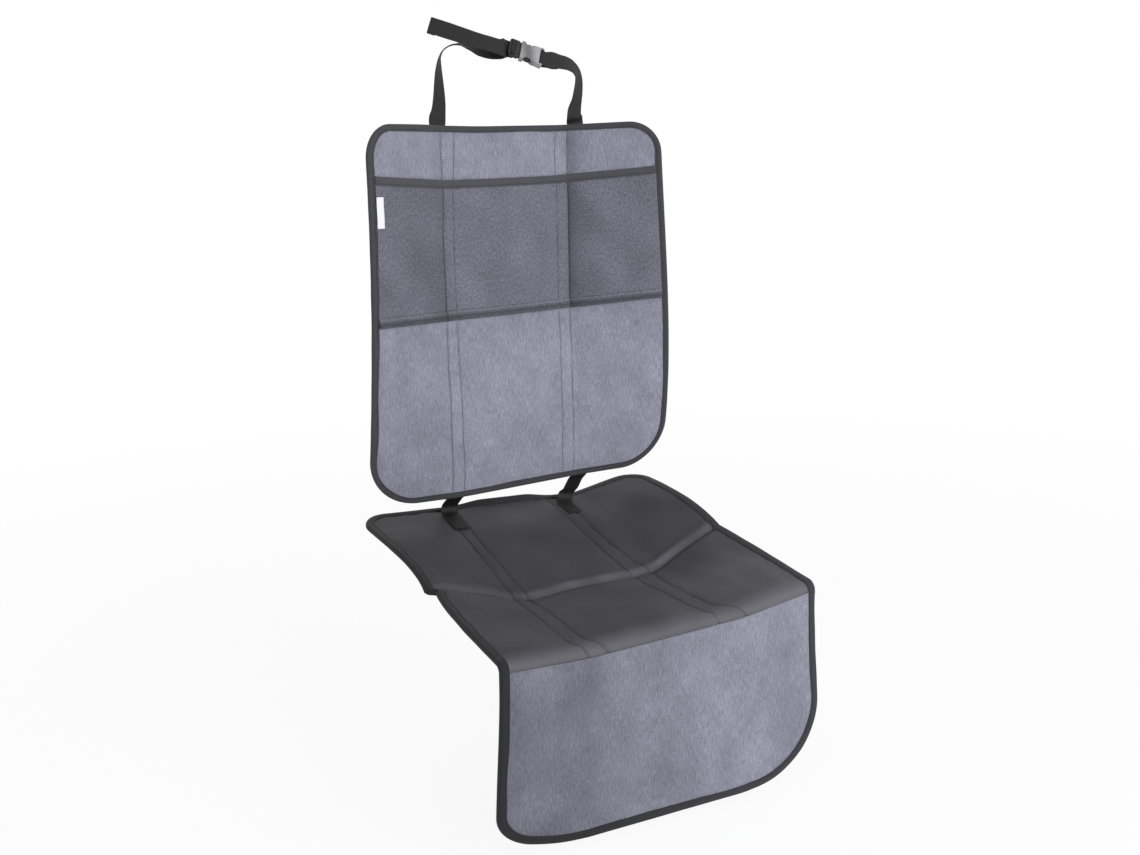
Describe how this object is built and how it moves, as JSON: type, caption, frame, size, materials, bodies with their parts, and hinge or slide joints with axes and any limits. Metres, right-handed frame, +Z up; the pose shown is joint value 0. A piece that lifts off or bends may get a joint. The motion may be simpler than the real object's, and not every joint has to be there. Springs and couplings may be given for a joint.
{
  "type": "car seat protector mat",
  "caption": "Padded mat that covers a car seat: a pocketed back panel on a buckled headrest strap, joined by webbing to a seat pad with a hanging front flap.",
  "frame": {"origin": "middle of the flat underside of the seat pad's front half, where it lies on the cushion", "axes": "+Z up, -Y the way the seat faces, +X the viewer's right when looking at the back panel's front"},
  "size_m": [0.4697, 0.4238, 0.9942],
  "materials": {
    "heather_cloth": "matt grey melange weave",
    "pocket_mesh": "fine mesh over cloth, matt",
    "seat_leatherette": "grained imitation leather, satin",
    "binding_tape": "ribbed edge tape, matt",
    "black_webbing": "woven webbing, slight sheen",
    "buckle_plastic": "moulded plastic, semi-gloss",
    "label_satin": "woven satin, bare"
  },
  "bodies": {
    "root": {"back_panel": "heather_cloth", "back_binding": "binding_tape", "pocket_panel": "pocket_mesh", "pocket_top_binding": "binding_tape", "side_label": "label_satin", "headrest_strap_left": "black_webbing", "headrest_strap_right": "black_webbing", "buckle_plug": "buckle_plastic", "buckle_socket": "buckle_plastic", "joining_strap_left": "black_webbing", "joining_strap_right": "black_webbing", "seat_pad": "seat_leatherette", "front_flap": "heather_cloth", "seat_binding": "binding_tape"}
  },
  "joints": []
}
